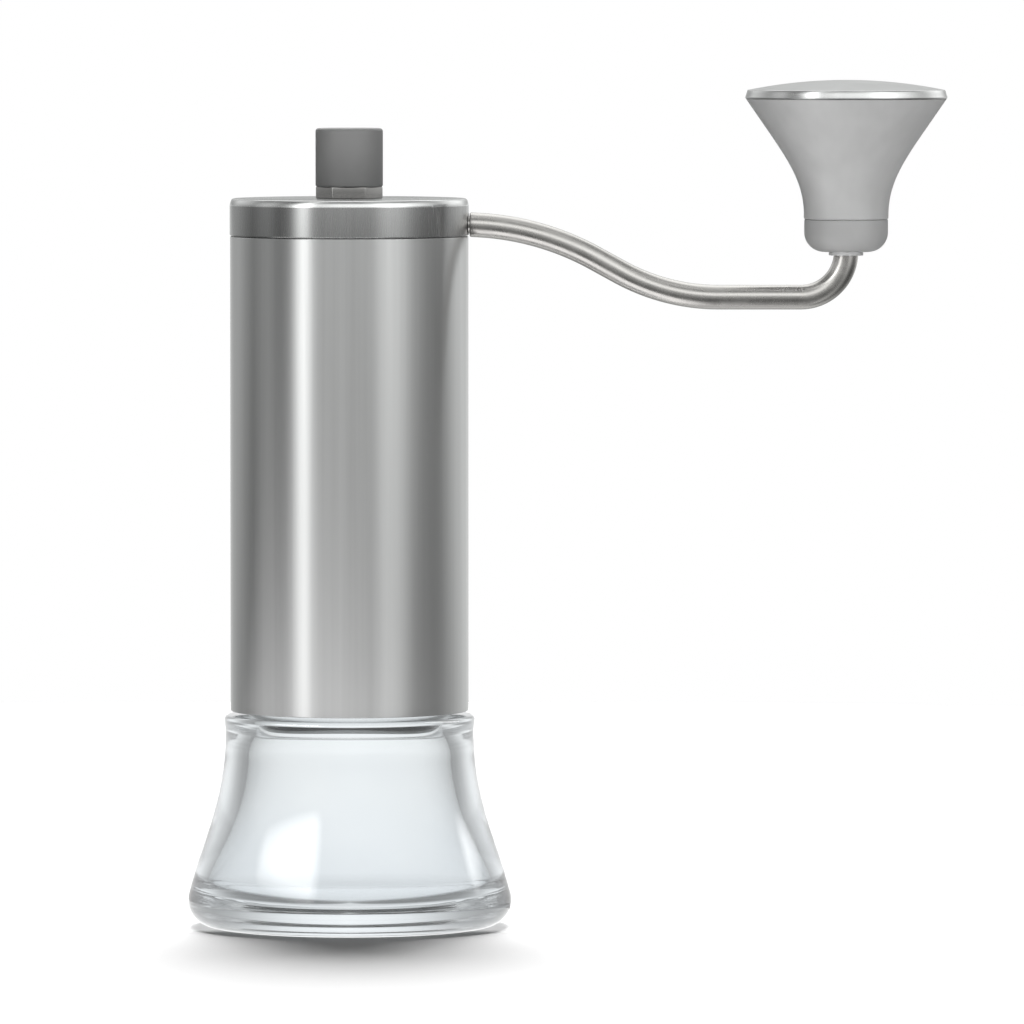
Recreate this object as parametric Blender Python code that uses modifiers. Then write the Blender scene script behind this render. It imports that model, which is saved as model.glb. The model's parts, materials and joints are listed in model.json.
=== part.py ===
"""Hand crank coffee grinder: a steel mill screwed onto a flared glass jar.

Every size is in millimetres and every height is measured up from the table, on the mill's
own axis. MM turns a size into Blender's metres where a mesh is made.
"""

import math

import bmesh
import bpy
from mathutils import Matrix

MM = 0.001
OBJECT_NAME = "hand_crank_coffee_grinder"

# Driving dimensions
TUBE_R = 29.0                 # outside of the steel tube
TUBE_WALL = 0.8
TUBE_BOTTOM_Z = 52.6
TUBE_TOP_Z = 168.0
JAR_R = 39.4                  # widest part of the jar, just above its foot
JAR_NECK_R = 24.4
JAR_SHOULDER_Z = 51.6
JAR_LIP_Z = 62.0
THREAD_LEAD = 4.0             # rise of the mill for each turn on the jar
BAR_R = 3.0                   # the crank is a 6 mm bar
CRANK_RADIUS = 120.9          # mill axis to grip axis
GAP = 0.3                     # between pieces that touch or slide

ROUND = 32                    # steps round a large turned piece
SMALL_ROUND = 20              # steps round a shaft, a bush or a screw
THREAD_ROUND = 20             # points on each turn of a thread
THREE_WAYS = (90.0, 210.0, 330.0)

# Sizes worked out from the driving ones
TUBE_BORE_R = TUBE_R - TUBE_WALL
INNER_FIT_R = TUBE_BORE_R - GAP

# Drive shaft, its bearings and the burrs
SHAFT_R = 3.2
SHAFT_THREAD_R = 2.4
SHAFT_BOTTOM_Z = 55.5
SHAFT_THREAD_TOP_Z = 67.2
SHAFT_LOWER_HEX_TOP_Z = 88.0
SHAFT_UPPER_HEX_Z = 162.0
SHAFT_TOP_Z = 188.0
BUSH_BORE_R = SHAFT_R + GAP
BUSH_R = 5.0
SPIDER_HUB_R = 7.5
SPIDER_ARM_WIDTH = 5.0
BURR_BOTTOM_Z = 68.3
BURR_RING_TOP_Z = 85.7
BURR_CONE_TOP_Z = 86.0
BURR_SEAT_R = 21.0

# Lid, hub and crank
LID_R = 29.1
LID_BOTTOM_Z = 168.4
LID_TOP_Z = 177.4
LID_RIM_INNER_R = 23.0
LID_BOSS_R = 10.3
LID_BORE_R = 5.0
LINER_SCREW_CIRCLE_R = 24.7
KNOB_R = 8.2
KNOB_BOTTOM_Z = 180.3
KNOB_TOP_Z = 194.5
SPIGOT_R = 2.1
SPIGOT_INNER_X = 6.0
ARM_TOP_Z = 171.0
ARM_LOW_Z = 153.35
BAR_START_X = 29.5            # just outside the lid
ARM_BEND_X = 28.0             # where the upper bend's circle starts
ARM_UPPER_BEND_R = 66.0
ARM_LOWER_BEND_R = 50.0
ARM_SLOPE = math.radians(28.8)
ARM_CORNER_R = 11.0
ARM_END_Z = 184.6

# Grip
GRIP_BOTTOM_Z = 164.4
GRIP_SPLIT_Z = 172.2
GRIP_NECK_R = 10.3
GRIP_RIM_R = 24.6
GRIP_RIM_Z = 202.9
GRIP_BODY_TOP_Z = 201.6
GRIP_TOP_Z = 206.2
GRIP_BORE_R = 4.5
GRIP_WALL = 2.2
FERRULE_EDGE_R = 4.8

MATERIALS = {
    # name: (colour, metallic, roughness)
    "clear_glass": ((0.90, 0.97, 0.97, 0.35), 0.0, 0.02),
    "brushed_tube": ((0.56, 0.56, 0.55, 1.0), 1.0, 0.30),
    "brushed_lid": ((0.50, 0.50, 0.49, 1.0), 1.0, 0.30),
    "satin_knob": ((0.38, 0.38, 0.38, 1.0), 1.0, 0.45),
    "polished_bar": ((0.62, 0.60, 0.57, 1.0), 1.0, 0.14),
    "satin_grip": ((0.70, 0.70, 0.69, 1.0), 1.0, 0.42),
    "grip_cap_metal": ((0.72, 0.72, 0.71, 1.0), 1.0, 0.25),
    "plain_steel": ((0.55, 0.55, 0.55, 1.0), 1.0, 0.35),
    "dark_plastic": ((0.05, 0.05, 0.05, 1.0), 0.0, 0.50),
    "black_plastic": ((0.03, 0.03, 0.03, 1.0), 0.0, 0.45),
    "seal_rubber": ((0.75, 0.75, 0.72, 1.0), 0.0, 0.70),
    "burr_ceramic": ((0.88, 0.87, 0.83, 1.0), 0.0, 0.45),
    "bush_bronze": ((0.60, 0.45, 0.22, 1.0), 1.0, 0.40),
}


# ---------------------------------------------------------------- scene and materials

def clear_scene():
    for item in list(bpy.data.objects):
        bpy.data.objects.remove(item, do_unlink=True)


def new_collection(name):
    collection = bpy.data.collections.new(name)
    bpy.context.scene.collection.children.link(collection)
    return collection


def make_material(name):
    colour, metallic, roughness = MATERIALS[name]
    material = bpy.data.materials.new(name)
    material.use_nodes = True
    shader = material.node_tree.nodes["Principled BSDF"]
    shader.inputs["Base Color"].default_value = colour
    shader.inputs["Metallic"].default_value = metallic
    shader.inputs["Roughness"].default_value = roughness
    if name == "clear_glass":
        shader.inputs["Transmission Weight"].default_value = 1.0
    material.diffuse_color = colour
    return material


def make_axis(name, x=0.0, parent=None):
    """An empty on a joint's axis, which the pieces that turn or slide there hang from."""
    axis = bpy.data.objects.new(name, None)
    axis.empty_display_size = 10 * MM
    axis.location = (x * MM, 0.0, 0.0)
    axis.parent = parent
    PIECES.objects.link(axis)
    return axis


def place(name, mesh, axis, material):
    """Put a mesh into the assembly as one named piece."""
    piece = bpy.data.objects.new(name, mesh)
    piece.parent = axis
    mesh.materials.append(make_material(material))
    PIECES.objects.link(piece)
    return piece


def tool(name, mesh, axis):
    """Put a mesh among the hidden shapes that cut or join the pieces."""
    shape = bpy.data.objects.new(name, mesh)
    shape.parent = axis
    shape.hide_render = True
    shape.display_type = "WIRE"
    TOOLS.objects.link(shape)
    return shape


# ---------------------------------------------------------------- outlines

def arc(centre_r, centre_z, radius, start, end, steps):
    """Points of an arc in the (r, z) plane, angles in degrees."""
    points = []
    for step in range(steps + 1):
        angle = math.radians(start + (end - start) * step / steps)
        points.append((centre_r + radius * math.cos(angle), centre_z + radius * math.sin(angle)))
    return points


def bezier(points, steps):
    """Points of one cubic Bezier span in the (r, z) plane."""
    span = []
    for step in range(steps + 1):
        t = step / steps
        weights = ((1 - t) ** 3, 3 * t * (1 - t) ** 2, 3 * t * t * (1 - t), t ** 3)
        span.append(tuple(sum(w * p[k] for w, p in zip(weights, points)) for k in (0, 1)))
    return span


def helix(radius, start_z, start_turn, turns, lead, points_per_turn):
    """Points of a right-handed helix about the mill axis."""
    count = round(turns * points_per_turn)
    points = []
    for step in range(count + 1):
        turn = start_turn + turns * step / count
        angle = 2 * math.pi * turn
        points.append((radius * math.cos(angle), radius * math.sin(angle), start_z + lead * turn))
    return points


# ---------------------------------------------------------------- meshes

def turned(name, profile, axis, material, steps=ROUND, closed=True):
    """A turned piece. The profile runs down the outer side; a ring's profile is closed."""
    mesh = bpy.data.meshes.new(name)
    points = [(r * MM, 0.0, z * MM) for r, z in profile]
    edges = [(i, i + 1) for i in range(len(points) - 1)]
    if closed:
        edges.append((len(points) - 1, 0))
    mesh.from_pydata(points, edges, [])
    piece = place(name, mesh, axis, material)
    screw = piece.modifiers.new("Turn", "SCREW")
    screw.axis = "Z"
    screw.steps = steps
    screw.render_steps = steps
    screw.use_merge_vertices = True
    screw.merge_threshold = 0.01 * MM
    screw.use_smooth_shade = True
    return piece


def cylinder_mesh(name, radius, low_z, high_z, sides=SMALL_ROUND, top_radius=None):
    """A closed cylinder, prism or cone frustum that stands on the mill axis."""
    top = radius if top_radius is None else top_radius
    mesh = bpy.data.meshes.new(name)
    body = bmesh.new()
    lift = Matrix.Translation((0.0, 0.0, (low_z + high_z) / 2 * MM))
    bmesh.ops.create_cone(
        body, cap_ends=True, segments=sides, radius1=radius * MM, radius2=top * MM,
        depth=(high_z - low_z) * MM, matrix=lift)
    body.to_mesh(mesh)
    body.free()
    return mesh


def box_mesh(name, low, high):
    mesh = bpy.data.meshes.new(name)
    body = bmesh.new()
    size = [(b - a) * MM for a, b in zip(low, high)]
    middle = [(a + b) / 2 * MM for a, b in zip(low, high)]
    shape = Matrix.Translation(middle) @ Matrix.Diagonal((*size, 1.0))
    bmesh.ops.create_cube(body, size=1.0, matrix=shape)
    body.to_mesh(mesh)
    body.free()
    return mesh


def curve_to_mesh(name, curve):
    """Turn a curve into a closed mesh, with its caps welded on."""
    holder = bpy.data.objects.new(name, curve)
    TOOLS.objects.link(holder)
    depsgraph = bpy.context.evaluated_depsgraph_get()
    mesh = bpy.data.meshes.new_from_object(holder.evaluated_get(depsgraph))
    bpy.data.objects.remove(holder, do_unlink=True)
    body = bmesh.new()
    body.from_mesh(mesh)
    bmesh.ops.remove_doubles(body, verts=body.verts, dist=0.01 * MM)
    bmesh.ops.recalc_face_normals(body, faces=body.faces)
    body.to_mesh(mesh)
    body.free()
    mesh.name = name
    return mesh


def bar_mesh(name, points, radius, resolution):
    """A round bar or wire along points."""
    curve = bpy.data.curves.new(name, "CURVE")
    curve.dimensions = "3D"
    curve.bevel_depth = radius * MM
    curve.bevel_resolution = resolution
    curve.use_fill_caps = True
    curve.render_resolution_u = 0
    spline = curve.splines.new("POLY")
    spline.points.add(len(points) - 1)
    for point, (x, y, z) in zip(spline.points, points):
        point.co = (x * MM, y * MM, z * MM, 1.0)
    return curve_to_mesh(name, curve)


def plate_mesh(name, outline, low_z, high_z):
    """A flat plate of a closed (x, y) outline."""
    curve = bpy.data.curves.new(name, "CURVE")
    curve.dimensions = "2D"
    curve.fill_mode = "BOTH"
    curve.extrude = (high_z - low_z) / 2 * MM
    curve.render_resolution_u = 0
    spline = curve.splines.new("POLY")
    spline.points.add(len(outline) - 1)
    spline.use_cyclic_u = True
    for point, (x, y) in zip(spline.points, outline):
        point.co = (x * MM, y * MM, 0.0, 1.0)
    mesh = curve_to_mesh(name, curve)
    mesh.transform(Matrix.Translation((0.0, 0.0, (low_z + high_z) / 2 * MM)))
    return mesh


def toothed_mesh(name, profile, teeth, twist, outward):
    """A burr: a ring whose closed profile carries (r, z, tooth depth) points.

    The teeth twist by a part of a turn for each millimetre of height. They stand inside the
    stated radius on a cone (outward = -1) and outside it on a ring (outward = 1).
    """
    samples = teeth * 4
    mesh = bpy.data.meshes.new(name)
    body = bmesh.new()
    rows = []
    for r, z, depth in profile:
        row = []
        for step in range(samples):
            angle = 2 * math.pi * step / samples
            phase = teeth * (angle - 2 * math.pi * twist * (z - BURR_BOTTOM_Z))
            radius = r + outward * depth * (1 + math.cos(phase)) / 2
            place_at = (radius * math.cos(angle) * MM, radius * math.sin(angle) * MM, z * MM)
            row.append(body.verts.new(place_at))
        rows.append(row)
    for upper, lower in zip(rows, rows[1:] + rows[:1]):
        for step in range(samples):
            after = (step + 1) % samples
            body.faces.new((upper[step], lower[step], lower[after], upper[after]))
    body.to_mesh(mesh)
    body.free()
    return mesh


# ---------------------------------------------------------------- joining and cutting

def boolean(piece, shape, operation):
    step = piece.modifiers.new(shape.name, "BOOLEAN")
    step.object = shape
    step.operation = operation
    step.solver = "EXACT"


def cut(piece, name, mesh):
    boolean(piece, tool(name, mesh, piece.parent), "DIFFERENCE")


def join(piece, name, mesh):
    boolean(piece, tool(name, mesh, piece.parent), "UNION")


def turn_mesh(mesh, degrees):
    mesh.transform(Matrix.Rotation(math.radians(degrees), 4, "Z"))
    return mesh


def move_mesh(mesh, x, y=0.0):
    mesh.transform(Matrix.Translation((x * MM, y * MM, 0.0)))
    return mesh


def lay_along_x(mesh, z):
    """Turn a cylinder that stands on the mill axis so that it lies along +X at a height."""
    mesh.transform(Matrix.Rotation(math.radians(90), 4, "Y"))
    mesh.transform(Matrix.Translation((0.0, 0.0, z * MM)))
    return mesh


def smooth_round_pieces():
    for piece in PIECES.objects:
        if piece.type == "MESH" and piece.data.polygons:
            piece.data.shade_smooth()
            piece.data.set_sharp_from_angle(angle=math.radians(35))


# ---------------------------------------------------------------- jar

def jar_outer_wall():
    """The jar's outside, from its top bead down to its foot."""
    bead = arc(29.3, 50.4, 1.2, 90, 0, 2)
    flare = bezier(((30.2, 48.0), (30.2, 30.0), (36.0, 21.0), (39.3, 7.5)), 7)
    foot = arc(JAR_R - 6.2, 6.2, 6.2, 0, -90, 4)
    return bead + flare + foot


def jar_inner_wall():
    """The jar's inside, from the middle of its floor up to its lip."""
    corner = arc(29.6, 11.3, 5.0, -90, -12, 3)
    flare = bezier(((34.5, 11.4), (31.4, 21.0), (25.4, 30.0), (25.4, 43.0)), 5)
    shoulder = arc(23.4, 45.6, 2.0, 0, 90, 2)
    return [(0.0, 6.3)] + corner + flare + shoulder


def make_glass_jar(axis):
    profile = jar_inner_wall()
    profile += [(22.3, 48.2), (22.3, JAR_LIP_Z - 0.5), (22.8, JAR_LIP_Z)]
    profile += [(JAR_NECK_R - 0.6, JAR_LIP_Z), (JAR_NECK_R, JAR_LIP_Z - 0.6)]
    profile += [(JAR_NECK_R, JAR_SHOULDER_Z)]
    profile += jar_outer_wall() + [(0.0, 0.0)]
    jar = turned("glass_jar", profile, axis, "clear_glass", closed=False)
    ridge = helix(JAR_NECK_R + 0.2, 54.2, 0.0, 1.6, THREAD_LEAD, THREAD_ROUND)
    join(jar, "jar_thread", bar_mesh("jar_thread", ridge, 0.8, 1))
    return jar


def make_neck_seal(axis):
    low = JAR_LIP_Z + GAP
    profile = [(22.5, low + 1.5), (25.6, low + 1.5), (25.6, low), (22.5, low)]
    turned("neck_seal", profile, axis, "seal_rubber")


# ---------------------------------------------------------------- mill body

def make_body_tube(axis):
    profile = [
        (TUBE_BORE_R, TUBE_TOP_Z), (TUBE_R, TUBE_TOP_Z),
        (TUBE_R, TUBE_BOTTOM_Z), (TUBE_BORE_R, TUBE_BOTTOM_Z)]
    turned("body_tube", profile, axis, "brushed_tube")


def make_neck_adapter(axis):
    bore_r = 25.9
    profile = [
        (22.5, 65.6), (INNER_FIT_R, 65.6), (INNER_FIT_R, TUBE_BOTTOM_Z + GAP),
        (bore_r, TUBE_BOTTOM_Z + GAP), (bore_r, 64.1), (22.5, 64.1)]
    adapter = turned("neck_adapter", profile, axis, "black_plastic")
    ridge = helix(bore_r - 0.2, 54.2 - THREAD_LEAD / 2, 0.4, 1.5, THREAD_LEAD, THREAD_ROUND)
    join(adapter, "adapter_thread", bar_mesh("adapter_thread", ridge, 0.8, 1))


def add_spider(piece, arm_low_z, arm_high_z, hub_low_z, hub_high_z, reach):
    """Three arms and a bored hub, joined to a ring that stands on the mill axis."""
    for degrees in THREE_WAYS:
        name = f"{piece.name}_arm_{degrees:.0f}"
        low = (SPIDER_HUB_R - 2, -SPIDER_ARM_WIDTH / 2, arm_low_z)
        high = (reach, SPIDER_ARM_WIDTH / 2, arm_high_z)
        join(piece, name, turn_mesh(box_mesh(name, low, high), degrees))
    hub = f"{piece.name}_hub"
    join(piece, hub, cylinder_mesh(hub, SPIDER_HUB_R, hub_low_z, hub_high_z))
    bore = f"{piece.name}_bore"
    cut(piece, bore, cylinder_mesh(bore, BUSH_R + GAP, hub_low_z - 5, hub_high_z + 5))


def make_burr_housing(axis):
    profile = [
        (INNER_FIT_R, 104.0), (INNER_FIT_R, 65.9), (19.8, 65.9), (19.8, 68.0),
        (BURR_SEAT_R + GAP, 68.0), (BURR_SEAT_R + GAP, 88.5), (26.4, 95.5), (26.4, 104.0)]
    housing = turned("burr_housing", profile, axis, "black_plastic")
    add_spider(housing, 97.0, 101.0, 96.5, 103.5, 27.2)


def make_upper_spider(axis):
    profile = [(26.2, 156.0), (INNER_FIT_R, 156.0), (INNER_FIT_R, 149.0), (26.2, 149.0)]
    spider = turned("upper_spider", profile, axis, "black_plastic")
    add_spider(spider, 150.0, 153.5, 149.5, 155.5, 27.0)


def make_bushes(axis):
    flange_r = 6.8
    lower = [
        (BUSH_BORE_R, 103.7), (BUSH_R, 103.7), (BUSH_R, 96.2), (flange_r, 96.2),
        (flange_r, 94.9), (BUSH_BORE_R, 94.9)]
    turned("lower_bush", lower, axis, "bush_bronze", SMALL_ROUND)
    upper = [
        (BUSH_BORE_R, 156.9), (flange_r, 156.9), (flange_r, 155.8), (BUSH_R, 155.8),
        (BUSH_R, 149.4), (BUSH_BORE_R, 149.4)]
    turned("upper_bush", upper, axis, "bush_bronze", SMALL_ROUND)


def make_burr_ring(axis):
    """The outer burr: a wide mouth for beans above, a fine flare below, toothed inside."""
    profile = [
        (BURR_SEAT_R, BURR_RING_TOP_Z, 0.0), (BURR_SEAT_R, BURR_BOTTOM_Z, 0.0),
        (16.6, BURR_BOTTOM_Z, 0.5), (14.4, 72.1, 0.9), (12.3, 75.8, 1.4),
        (13.4, 79.0, 2.2), (15.4, 82.4, 2.6), (17.2, BURR_RING_TOP_Z, 2.4)]
    mesh = toothed_mesh("burr_ring", profile, 12, -0.012, 1)
    place("burr_ring", mesh, axis, "burr_ceramic")


def make_burr_lock_ring(axis):
    low = BURR_RING_TOP_Z + GAP
    profile = [(19.9, low + 1.2), (BURR_SEAT_R, low + 1.2), (BURR_SEAT_R, low), (19.9, low)]
    turned("burr_lock_ring", profile, axis, "plain_steel")


# ---------------------------------------------------------------- drive shaft and burr

def make_drive_shaft(axis):
    """Threaded at the bottom, six-sided where it drives the burr and the hub."""
    mesh = cylinder_mesh("drive_shaft", SHAFT_R, SHAFT_LOWER_HEX_TOP_Z, SHAFT_UPPER_HEX_Z)
    shaft = place("drive_shaft", mesh, axis, "plain_steel")
    joins = {
        "shaft_thread": (SHAFT_THREAD_R, SHAFT_BOTTOM_Z, SHAFT_THREAD_TOP_Z + 1, SMALL_ROUND),
        "shaft_lower_hex": (SHAFT_R, SHAFT_THREAD_TOP_Z, SHAFT_LOWER_HEX_TOP_Z + 1, 6),
        "shaft_upper_hex": (SHAFT_R, SHAFT_UPPER_HEX_Z - 1, SHAFT_TOP_Z, 6),
    }
    for name, (radius, low, high, sides) in joins.items():
        join(shaft, name, cylinder_mesh(name, radius, low, high, sides))


def make_shaft_retainers(axis):
    """The washer and the open clip that hang the shaft on its upper bush."""
    washer = [(3.5, 157.9), (6.6, 157.9), (6.6, 157.2), (3.5, 157.2)]
    turned("shaft_washer", washer, axis, "plain_steel", SMALL_ROUND)
    clip = [(3.5, 159.1), (5.8, 159.1), (5.8, 158.2), (3.5, 158.2)]
    ring = turned("shaft_clip", clip, axis, "plain_steel", SMALL_ROUND)
    cut(ring, "clip_mouth", box_mesh("clip_mouth", (-8.0, -1.6, 157.5), (0.0, 1.6, 160.0)))


def make_burr_cone(axis):
    """The inner burr: coarse twisted teeth above, fine ones at its wide foot."""
    bore_r = 5.0
    profile = [
        (bore_r, BURR_CONE_TOP_Z, 0.0), (5.9, BURR_CONE_TOP_Z, 0.1), (8.2, 82.5, 1.4),
        (9.9, 79.0, 1.9), (11.4, 75.8, 1.4), (13.6, 72.1, 0.9), (15.9, BURR_BOTTOM_Z, 0.5),
        (bore_r, BURR_BOTTOM_Z, 0.0)]
    place("burr_cone", toothed_mesh("burr_cone", profile, 10, 0.012, -1), axis, "burr_ceramic")


def make_burr_carrier(axis):
    """The sleeve that keys the inner burr to the shaft and carries the spring."""
    profile = [
        (0.0, 87.2), (6.4, 87.2), (6.4, BURR_CONE_TOP_Z + GAP), (4.7, BURR_CONE_TOP_Z + GAP),
        (4.7, 68.6), (0.0, 68.6)]
    carrier = turned("burr_carrier", profile, axis, "dark_plastic", SMALL_ROUND, closed=False)
    cut(carrier, "carrier_hex", cylinder_mesh("carrier_hex", SHAFT_R + GAP + 0.1, 60, 95, 6))


def make_burr_spring(axis):
    """The spring that presses the inner burr down onto its adjuster."""
    low_z, high_z, wire_r, turns = 88.05, 93.35, 0.55, 3.5
    lead = (high_z - low_z) / turns
    points = helix(5.3, low_z, 0.0, turns, lead, 14)
    mesh = bar_mesh("burr_spring", points, wire_r, 1)
    place("burr_spring", mesh, axis, "plain_steel")


def make_spring_washer(axis):
    profile = [(3.5, 94.6), (6.6, 94.6), (6.6, 94.2), (3.5, 94.2)]
    turned("spring_washer", profile, axis, "plain_steel", SMALL_ROUND)


def make_detent_plate(axis):
    """The notched plate under the inner burr, which the adjuster clicks against."""
    profile = [(3.6, 68.0), (8.0, 68.0), (8.0, 66.9), (3.6, 66.9)]
    plate = turned("detent_plate", profile, axis, "plain_steel", SMALL_ROUND)
    for step in range(6):
        name = f"detent_notch_{step}"
        notch = move_mesh(cylinder_mesh(name, 0.8, 66.0, 69.0, 12), 8.0)
        cut(plate, name, turn_mesh(notch, 60.0 * step + 30.0))


def make_adjuster_nut(axis):
    """A five-lobed thumb nut below the burr, which sets how coarse the grind is."""
    lobes = 5
    outline = []
    for step in range(ROUND + 2):
        angle = 2 * math.pi * step / (ROUND + 2)
        radius = 11.3 + 1.7 * math.cos(lobes * angle)
        outline.append((radius * math.cos(angle), radius * math.sin(angle)))
    nut = place("adjuster_nut", plate_mesh("adjuster_nut", outline, 60.4, 63.4), axis, "dark_plastic")
    join(nut, "adjuster_hub", cylinder_mesh("adjuster_hub", 6.5, 61.0, 66.6))
    cut(nut, "adjuster_bore", cylinder_mesh("adjuster_bore", SHAFT_THREAD_R + GAP, 55.0, 70.0))


# ---------------------------------------------------------------- lid and hub

def liner_screw_shape(name, radius, low_z, high_z, degrees):
    mesh = cylinder_mesh(name, radius, low_z, high_z, 12)
    return turn_mesh(move_mesh(mesh, LINER_SCREW_CIRCLE_R), degrees)


def make_lid(axis):
    """The lid is the crank's hub: a capped rim and a bored boss, with the arm let into it."""
    rim_edge_r = 1.1
    profile = [(LID_BORE_R, LID_TOP_Z)]
    profile += arc(LID_R - rim_edge_r, LID_TOP_Z - rim_edge_r, rim_edge_r, 90, 0, 4)
    profile += [
        (LID_R, LID_BOTTOM_Z), (LID_RIM_INNER_R, LID_BOTTOM_Z), (LID_RIM_INNER_R, 174.9),
        (LID_BOSS_R, 174.9), (LID_BOSS_R, 166.6), (LID_BORE_R, 166.6)]
    lid = turned("lid_disc", profile, axis, "brushed_lid")
    spigot_hole = cylinder_mesh("spigot_hole", SPIGOT_R + GAP, SPIGOT_INNER_X - GAP, 35.0)
    cut(lid, "spigot_hole", lay_along_x(spigot_hole, ARM_TOP_Z))
    set_screw_hole = move_mesh(cylinder_mesh("set_screw_hole", 1.55, 160.0, ARM_TOP_Z), 7.8)
    cut(lid, "set_screw_hole", set_screw_hole)
    for number, degrees in enumerate(THREE_WAYS, 1):
        name = f"lid_screw_hole_{number}"
        cut(lid, name, liner_screw_shape(name, 1.2, 160.0, 172.2, degrees))


def make_lid_liner(axis):
    """The glide ring in the dark seam, with a skirt that centres the lid in the tube."""
    profile = [
        (LID_BOSS_R + 0.4, 168.0), (27.5, 168.0), (27.5, 167.0), (INNER_FIT_R, 166.8),
        (INNER_FIT_R, 161.0), (26.4, 161.0), (26.4, 166.6), (LID_BOSS_R + 0.4, 166.6)]
    liner = turned("lid_liner", profile, axis, "dark_plastic")
    for number, degrees in enumerate(THREE_WAYS, 1):
        name = f"liner_screw_hole_{number}"
        cut(liner, name, liner_screw_shape(name, 1.2, 160.0, 170.0, degrees))


def make_liner_screws(axis):
    for number, degrees in enumerate(THREE_WAYS, 1):
        name = f"liner_screw_{number}"
        screw = place(name, liner_screw_shape(name, 1.4, 165.3, 166.3, degrees), axis, "plain_steel")
        shank = f"liner_screw_shank_{number}"
        join(screw, shank, liner_screw_shape(shank, 0.9, 165.8, 171.8, degrees))


def make_arm_set_screw(axis):
    mesh = move_mesh(cylinder_mesh("arm_set_screw", 1.25, 166.9, 168.6, 12), 7.8)
    place("arm_set_screw", mesh, axis, "plain_steel")


def make_hub_collar(axis):
    mesh = cylinder_mesh("hub_collar", KNOB_R, LID_TOP_Z + GAP, KNOB_BOTTOM_Z - GAP, 6)
    collar = place("hub_collar", turn_mesh(mesh, 90.0), axis, "polished_bar")
    cut(collar, "collar_bore", cylinder_mesh("collar_bore", LID_BORE_R, 175.0, 185.0))


def make_hub_knob(axis):
    """The knob's stem runs through the lid and holds the socket that drives the shaft."""
    stem_r = LID_BORE_R - GAP
    profile = [(0.0, KNOB_TOP_Z)] + arc(KNOB_R - 0.8, KNOB_TOP_Z - 0.8, 0.8, 90, 0, 3)
    profile += [(KNOB_R, KNOB_BOTTOM_Z), (stem_r, KNOB_BOTTOM_Z), (stem_r, 166.9), (0.0, 166.9)]
    knob = turned("hub_knob", profile, axis, "satin_knob", closed=False)
    socket = cylinder_mesh("hub_socket", SHAFT_R + GAP + 0.1, 160.0, SHAFT_TOP_Z + GAP, 6)
    cut(knob, "hub_socket", socket)


# ---------------------------------------------------------------- crank arm

def arm_route():
    """The bar's centre line: a swan neck out of the lid, a straight run, and a turn up."""
    rise = 1 - math.cos(ARM_SLOPE)
    bends = (ARM_UPPER_BEND_R + ARM_LOWER_BEND_R) * rise
    slope_length = (ARM_TOP_Z - ARM_LOW_Z - bends) / math.sin(ARM_SLOPE)
    points = []
    for step in range(1, 6):
        angle = ARM_SLOPE * step / 5
        x = ARM_BEND_X + ARM_UPPER_BEND_R * math.sin(angle)
        points.append((x, 0.0, ARM_TOP_Z - ARM_UPPER_BEND_R * (1 - math.cos(angle))))
    x = points[-1][0] + slope_length * math.cos(ARM_SLOPE)
    end_x = x + ARM_LOWER_BEND_R * math.sin(ARM_SLOPE)
    for step in range(6):
        angle = ARM_SLOPE * (1 - step / 5)
        x = end_x - ARM_LOWER_BEND_R * math.sin(angle)
        points.append((x, 0.0, ARM_LOW_Z + ARM_LOWER_BEND_R * (1 - math.cos(angle))))
    for step in range(7):
        angle = math.radians(90 * step / 6)
        x = CRANK_RADIUS - ARM_CORNER_R * (1 - math.sin(angle))
        points.append((x, 0.0, ARM_LOW_Z + ARM_CORNER_R * (1 - math.cos(angle))))
    points.append((CRANK_RADIUS, 0.0, ARM_END_Z))
    return points


def make_crank_arm(axis):
    """A bent bar with a thinner spigot in the lid and a tapped upright end in the grip."""
    route = [(BAR_START_X, 0.0, ARM_TOP_Z)] + arm_route()
    arm = place("crank_arm", bar_mesh("crank_arm", route, BAR_R, 6), axis, "polished_bar")
    spigot = cylinder_mesh("arm_spigot", SPIGOT_R, SPIGOT_INNER_X, BAR_START_X + 3)
    join(arm, "arm_spigot", lay_along_x(spigot, ARM_TOP_Z))
    tapped_hole = cylinder_mesh("arm_tapped_hole", 1.55, ARM_END_Z - 7.5, ARM_END_Z + 5, 12)
    cut(arm, "arm_tapped_hole", move_mesh(tapped_hole, CRANK_RADIUS))


# ---------------------------------------------------------------- grip

def make_grip_ferrule(axis):
    outer_r = GRIP_NECK_R - 0.1
    profile = [(GRIP_BORE_R, GRIP_SPLIT_Z), (outer_r, GRIP_SPLIT_Z)]
    edge_z = GRIP_BOTTOM_Z + FERRULE_EDGE_R
    profile += arc(outer_r - FERRULE_EDGE_R, edge_z, FERRULE_EDGE_R, 0, -90, 5)
    profile += [(GRIP_BORE_R, GRIP_BOTTOM_Z)]
    turned("grip_ferrule", profile, axis, "satin_grip")


def make_grip_body(axis):
    """A flared trumpet, hollow under its cap."""
    floor_z = 184.0
    outer = bezier(((24.4, GRIP_BODY_TOP_Z), (15.5, 188.5), (10.6, 183.0), (GRIP_NECK_R, 174.0)), 8)
    inner = [(r - GRIP_WALL, z + 0.6) for r, z in outer if z > floor_z + 2]
    profile = outer + [(GRIP_NECK_R, GRIP_SPLIT_Z + GAP), (GRIP_BORE_R, GRIP_SPLIT_Z + GAP)]
    profile += [(GRIP_BORE_R, floor_z), (9.6, floor_z)] + list(reversed(inner[1:]))
    profile += [(24.4 - GRIP_WALL, GRIP_BODY_TOP_Z)]
    turned("grip_body", profile, axis, "satin_grip")


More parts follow.
